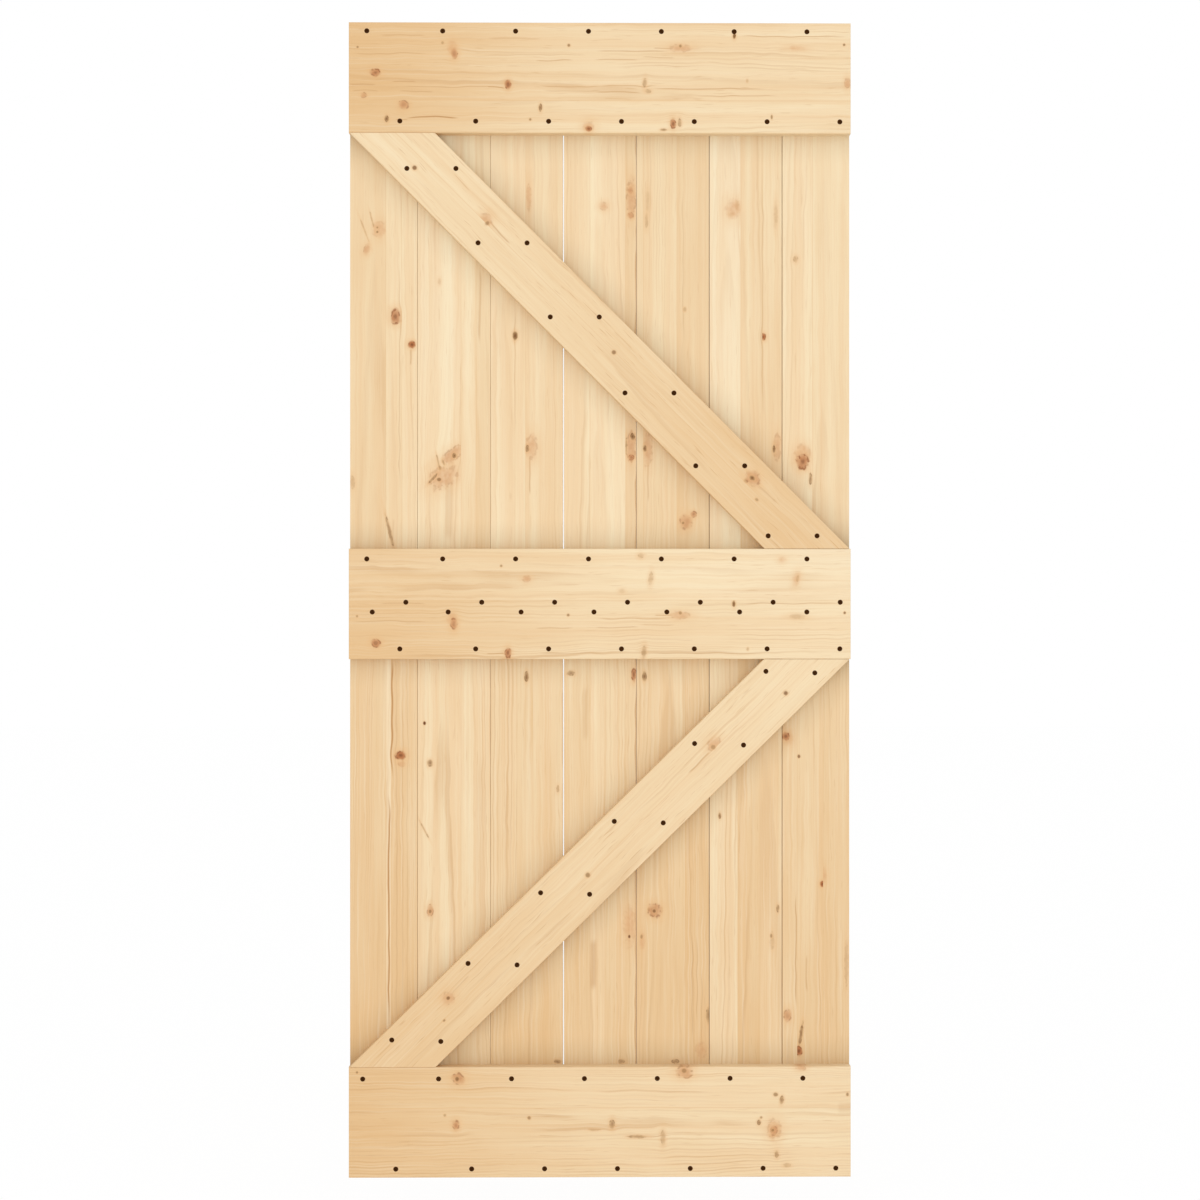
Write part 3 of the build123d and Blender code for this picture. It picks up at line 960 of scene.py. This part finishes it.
def screw_mesh(settings):
    """One countersunk screw with a cross recess, its head up on the XY plane."""
    bm = bmesh.new()
    bmesh.ops.create_circle(bm, cap_ends=True, radius=settings.head, segments=settings.sides)
    half = settings.slot / 2
    for axis in (Vector((1, 0, 0)), Vector((0, 1, 0))):
        for offset in (-settings.span, -half, half, settings.span):
            geometry = bm.verts[:] + bm.edges[:] + bm.faces[:]
            bmesh.ops.bisect_plane(bm, geom=geometry, dist=1e-7, plane_co=axis * offset, plane_no=axis)
    wings = []
    for face in bm.faces:
        middle = face.calc_center_median()
        near, far = sorted((abs(middle.x), abs(middle.y)))
        if near < half and far < settings.span:
            wings.append(face)
    rim = [edge for edge in bm.edges if edge.is_boundary]
    sunk = bmesh.ops.extrude_face_region(bm, geom=wings)
    floor = [item for item in sunk["geom"] if isinstance(item, bmesh.types.BMVert)]
    bmesh.ops.delete(bm, geom=wings, context="FACES_ONLY")
    bmesh.ops.scale(bm, vec=(RECESS_FLOOR, RECESS_FLOOR, 1.0), verts=floor)
    bmesh.ops.translate(bm, vec=(0, 0, -RECESS_DEPTH * settings.taper), verts=floor)
    steps = (
        (settings.neck / settings.head, settings.taper),
        (1.0, settings.length * (1.0 - POINT_SHARE) - settings.taper),
        (POINT_SIZE, settings.length * POINT_SHARE),
    )
    for scale, fall in steps:
        grown = bmesh.ops.extrude_edge_only(bm, edges=rim)["geom"]
        verts = [item for item in grown if isinstance(item, bmesh.types.BMVert)]
        rim = [item for item in grown if isinstance(item, bmesh.types.BMEdge) and item.is_boundary]
        bmesh.ops.scale(bm, vec=(scale, scale, 1.0), verts=verts)
        bmesh.ops.translate(bm, vec=(0, 0, -fall), verts=verts)
    bmesh.ops.contextual_create(bm, geom=rim)
    bmesh.ops.recalc_face_normals(bm, faces=bm.faces[:])
    mesh = bpy.data.meshes.new("screw")
    bm.to_mesh(mesh)
    bm.free()
    return mesh


def screw_material(settings):
    """Dark coating, a little worn and uneven."""
    material, g, shader = new_material("dark screw coating")
    coordinates = g.add("ShaderNodeTexCoord").outputs["Object"]
    uneven = g.noise(coordinates, (900.0, 900.0, 900.0), detail=3.0)
    dark = rgba(settings.colour)
    light = rgba([min(1.0, COATING_WORN * value) for value in settings.colour])
    g.feed(shader.inputs["Base Color"], g.mix(g.ease(uneven, 0.45, 0.75), dark, light))
    rough = g.scaled(uneven, COATING_ROUGHNESS_SPREAD, COATING_ROUGHNESS)
    g.feed(shader.inputs["Roughness"], rough)
    shader.inputs["Specular IOR Level"].default_value = COATING_GLOSS
    return material


class LEAF_OT_screws(bpy.types.Operator):
    """Set a countersunk screw in every seat of the rails and braces"""

    bl_idname = "leaf.screws"
    bl_label = "Set screws"

    def execute(self, context):
        settings = context.scene.leaf_screws
        material = screw_material(settings)
        pattern = screw_mesh(settings)
        facing = Matrix.Rotation(math.radians(90), 4, "X")
        for node in RAILS + BRACES:
            seats = screw_seats(node)
            if not seats:
                raise RuntimeError(f"{node} has no screw seats")
            bm = bmesh.new()
            for number, seat in enumerate(seats):
                before = len(bm.verts)
                bm.from_mesh(pattern)
                bm.verts.ensure_lookup_table()
                spin = Matrix.Rotation(math.radians(SCREW_TURN * number), 4, "Z")
                place = Matrix.Translation(seat + Vector((0, settings.drop, 0)))
                bmesh.ops.transform(bm, matrix=place @ facing @ spin, verts=bm.verts[before:])
            mesh = bpy.data.meshes.new(f"{node}_screws")
            bm.to_mesh(mesh)
            bm.free()
            mesh.materials.append(material)
            piece = bpy.data.objects.new(f"{node}_screws", mesh)
            context.scene.collection.objects.link(piece)
            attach(piece, BODY)
        bpy.data.meshes.remove(pattern)
        return {"FINISHED"}


def seen_directly(g):
    """1 for rays from the camera, from gloss and through glass, otherwise 0."""
    path = g.add("ShaderNodeLightPath").outputs
    glossy = g.math("MAXIMUM", path["Is Glossy Ray"], path["Is Transmission Ray"])
    return g.math("MAXIMUM", path["Is Camera Ray"], glossy)


def make_world(settings):
    """Even white light all round, and white where it is seen."""
    world = bpy.data.worlds.new("studio white")
    world.use_nodes = True
    g = Graph(world.node_tree)
    background = world.node_tree.nodes["Background"]
    background.inputs["Color"].default_value = (1, 1, 1, 1)
    lift = g.scaled(seen_directly(g), 1.0 - settings.sky, settings.sky)
    g.feed(background.inputs["Strength"], lift)
    bpy.context.scene.world = world


def make_floor(settings, base):
    """A plain pale floor that keeps a soft shadow."""
    bm = bmesh.new()
    bmesh.ops.create_grid(bm, x_segments=1, y_segments=1, size=settings.floor_half)
    bmesh.ops.translate(bm, vec=(0, 0, base - settings.floor_gap), verts=bm.verts[:])
    mesh = bpy.data.meshes.new("floor")
    bm.to_mesh(mesh)
    bm.free()
    material, g, shader = new_material("pale floor")
    g.tree.nodes.remove(shader)
    matt = g.add("ShaderNodeBsdfDiffuse")
    matt.inputs["Color"].default_value = rgba(settings.floor)
    glow = g.add("ShaderNodeEmission")
    glow.inputs["Strength"].default_value = FLOOR_WHITE
    share = g.times(seen_directly(g), FLOOR_WHITE_SHARE)
    mixed = g.wire(g.add("ShaderNodeMixShader"), share, matt.outputs[0], glow.outputs[0])
    g.feed(g.tree.nodes["Material Output"].inputs["Surface"], mixed)
    mesh.materials.append(material)
    floor = bpy.data.objects.new("floor", mesh)
    bpy.context.scene.collection.objects.link(floor)


def aim(obj, target):
    """Turns a lamp or camera towards a point."""
    obj.rotation_euler = (target - obj.location).to_track_quat("-Z", "Y").to_euler()


class LEAF_OT_stage(bpy.types.Operator):
    """Lay the floor, set the soft light and place the camera"""

    bl_idname = "leaf.stage"
    bl_label = "Set stage"

    def execute(self, context):
        settings = context.scene.leaf_stage
        scene = context.scene
        low, high = CAD_BOX
        middle = Vector(((low.x + high.x) / 2, low.y, (low.z + high.z) / 2))
        make_world(settings)
        make_floor(settings, low.z)
        lamp = bpy.data.lights.new("key", "AREA")
        lamp.shape = "RECTANGLE"
        lamp.size = LAMP_WIDTH
        lamp.size_y = LAMP_HEIGHT
        lamp.energy = settings.key
        key = bpy.data.objects.new("key", lamp)
        key.location = middle + Vector(LAMP_PLACE)
        aim(key, middle)
        scene.collection.objects.link(key)
        camera = bpy.data.objects.new("camera", bpy.data.cameras.new("camera"))
        camera.data.lens = settings.lens
        camera.data.sensor_width = SENSOR_WIDTH
        camera.location = middle + Vector((settings.aside, -settings.distance, 0))
        aim(camera, middle)
        scene.collection.objects.link(camera)
        scene.camera = camera
        scene.view_settings.view_transform = "Standard"
        return {"FINISHED"}


class LEAF_PT_panel(bpy.types.Panel):
    """Steps and settings of the door leaf"""

    bl_idname = "LEAF_PT_panel"
    bl_label = "Door leaf"
    bl_space_type = "VIEW_3D"
    bl_region_type = "UI"
    bl_category = "Door leaf"

    def draw(self, context):
        scene = context.scene
        steps = (LEAF_OT_boards, LEAF_OT_rails, LEAF_OT_braces, LEAF_OT_screws, LEAF_OT_stage)
        for step in steps:
            self.layout.operator(step.bl_idname)
        for group in (scene.leaf_pine, scene.leaf_screws, scene.leaf_stage):
            box = self.layout.box()
            for key in group.__annotations__:
                box.prop(group, key)


CLASSES = (
    PineSettings, ScrewSettings, StageSettings,
    LEAF_OT_boards, LEAF_OT_rails, LEAF_OT_braces, LEAF_OT_screws, LEAF_OT_stage, LEAF_PT_panel,
)


def register():
    for cls in CLASSES:
        bpy.utils.register_class(cls)
    bpy.types.Scene.leaf_pine = PointerProperty(type=PineSettings)
    bpy.types.Scene.leaf_screws = PointerProperty(type=ScrewSettings)
    bpy.types.Scene.leaf_stage = PointerProperty(type=StageSettings)


def unregister():
    del bpy.types.Scene.leaf_stage
    del bpy.types.Scene.leaf_screws
    del bpy.types.Scene.leaf_pine
    for cls in reversed(CLASSES):
        bpy.utils.unregister_class(cls)


def main():
    register()
    bpy.ops.leaf.stage()
    bpy.ops.leaf.boards()
    bpy.ops.leaf.rails()
    bpy.ops.leaf.braces()
    bpy.ops.leaf.screws()


if __name__ == "__main__":
    main()
